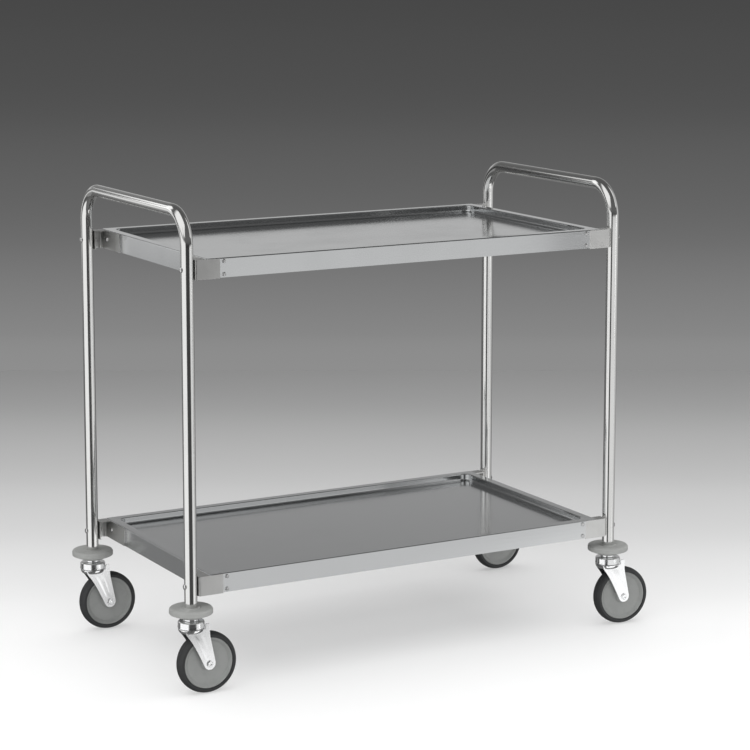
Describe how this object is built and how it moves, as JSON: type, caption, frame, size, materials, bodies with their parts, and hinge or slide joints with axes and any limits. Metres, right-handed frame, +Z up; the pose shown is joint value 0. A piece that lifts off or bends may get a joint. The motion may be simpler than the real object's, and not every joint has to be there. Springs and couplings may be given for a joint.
{
  "type": "service cart",
  "caption": "Two-shelf stainless service cart with tubular end frames that form push handles, sunk tray shelves, bumper discs and swivel castors.",
  "frame": {"origin": "on the floor, at the centre of the footprint with the castors trailing towards +X", "axes": "+X along the cart from the left handle to the right handle, +Y from the front long side to the rear one, +Z up"},
  "size_m": [1.1048, 0.577, 0.95],
  "materials": {
    "polished_tube": "polished stainless",
    "shelf_steel": "bright stainless sheet",
    "bracket_steel": "satin stainless sheet",
    "screw_steel": "plain stainless",
    "zinc_steel": "bright zinc plated",
    "bumper_plastic": "grey moulded",
    "wheel_plastic": "grey moulded",
    "tyre_rubber": "dark rubber"
  },
  "bodies": {
    "cart": {"end_frame_left": "polished_tube", "end_frame_right": "polished_tube", "side_screws": "screw_steel", "end_screws": "screw_steel", "tube_bolts": "screw_steel", "tube_nuts": "screw_steel", "upper_tray": "shelf_steel", "upper_stiffener": "shelf_steel", "upper_bracket_front_left": "bracket_steel", "upper_bracket_front_right": "bracket_steel", "upper_bracket_rear_left": "bracket_steel", "upper_bracket_rear_right": "bracket_steel", "lower_tray": "shelf_steel", "lower_stiffener": "shelf_steel", "lower_bracket_front_left": "bracket_steel", "lower_bracket_front_right": "bracket_steel", "lower_bracket_rear_left": "bracket_steel", "lower_bracket_rear_right": "bracket_steel", "bumper_front_left": "bumper_plastic", "stem_socket_front_left": "zinc_steel", "castor_front_left_head": "zinc_steel", "castor_front_left_balls": "zinc_steel", "bumper_front_right": "bumper_plastic", "stem_socket_front_right": "zinc_steel", "castor_front_right_head": "zinc_steel", "castor_front_right_balls": "zinc_steel", "bumper_rear_left": "bumper_plastic", "stem_socket_rear_left": "zinc_steel", "castor_rear_left_head": "zinc_steel", "castor_rear_left_balls": "zinc_steel", "bumper_rear_right": "bumper_plastic", "stem_socket_rear_right": "zinc_steel", "castor_rear_right_head": "zinc_steel", "castor_rear_right_balls": "zinc_steel"},
    "swivel_front_left": {"castor_front_left_fork": "zinc_steel", "castor_front_left_axle_bolt": "zinc_steel", "castor_front_left_axle_nut": "zinc_steel", "castor_front_left_sleeve": "zinc_steel"},
    "roller_front_left": {"castor_front_left_wheel": "wheel_plastic", "castor_front_left_tyre": "tyre_rubber"},
    "swivel_front_right": {"castor_front_right_fork": "zinc_steel", "castor_front_right_axle_bolt": "zinc_steel", "castor_front_right_axle_nut": "zinc_steel", "castor_front_right_sleeve": "zinc_steel"},
    "roller_front_right": {"castor_front_right_wheel": "wheel_plastic", "castor_front_right_tyre": "tyre_rubber"},
    "swivel_rear_left": {"castor_rear_left_fork": "zinc_steel", "castor_rear_left_axle_bolt": "zinc_steel", "castor_rear_left_axle_nut": "zinc_steel", "castor_rear_left_sleeve": "zinc_steel"},
    "roller_rear_left": {"castor_rear_left_wheel": "wheel_plastic", "castor_rear_left_tyre": "tyre_rubber"},
    "swivel_rear_right": {"castor_rear_right_fork": "zinc_steel", "castor_rear_right_axle_bolt": "zinc_steel", "castor_rear_right_axle_nut": "zinc_steel", "castor_rear_right_sleeve": "zinc_steel"},
    "roller_rear_right": {"castor_rear_right_wheel": "wheel_plastic", "castor_rear_right_tyre": "tyre_rubber"}
  },
  "joints": [
    {"name": "swivel_front_left", "type": "hinge", "parent": "cart", "child": "swivel_front_left", "pos_m": [-0.50975, -0.246, 0.1365], "axis": [0, 0, 1], "continuous": true},
    {"name": "roll_front_left", "type": "hinge", "parent": "swivel_front_left", "child": "roller_front_left", "pos_m": [-0.47875, -0.24654, 0.061], "axis": [0.0175, 0.9998, 0], "continuous": true},
    {"name": "swivel_front_right", "type": "hinge", "parent": "cart", "child": "swivel_front_right", "pos_m": [0.46025, -0.246, 0.1365], "axis": [0, 0, 1], "continuous": true},
    {"name": "roll_front_right", "type": "hinge", "parent": "swivel_front_right", "child": "roller_front_right", "pos_m": [0.49108, -0.24924, 0.061], "axis": [0.1045, 0.9945, 0], "continuous": true},
    {"name": "swivel_rear_left", "type": "hinge", "parent": "cart", "child": "swivel_rear_left", "pos_m": [-0.50975, 0.246, 0.1365], "axis": [0, 0, 1], "continuous": true},
    {"name": "roll_rear_left", "type": "hinge", "parent": "swivel_rear_left", "child": "roller_rear_left", "pos_m": [-0.47877, 0.24492, 0.061], "axis": [0.0349, 0.9994, 0], "continuous": true},
    {"name": "swivel_rear_right", "type": "hinge", "parent": "cart", "child": "swivel_rear_right", "pos_m": [0.46025, 0.246, 0.1365], "axis": [0, 0, 1], "continuous": true},
    {"name": "roll_rear_right", "type": "hinge", "parent": "swivel_rear_right", "child": "roller_rear_right", "pos_m": [0.49125, 0.246, 0.061], "axis": [0, 1, 0], "continuous": true}
  ]
}
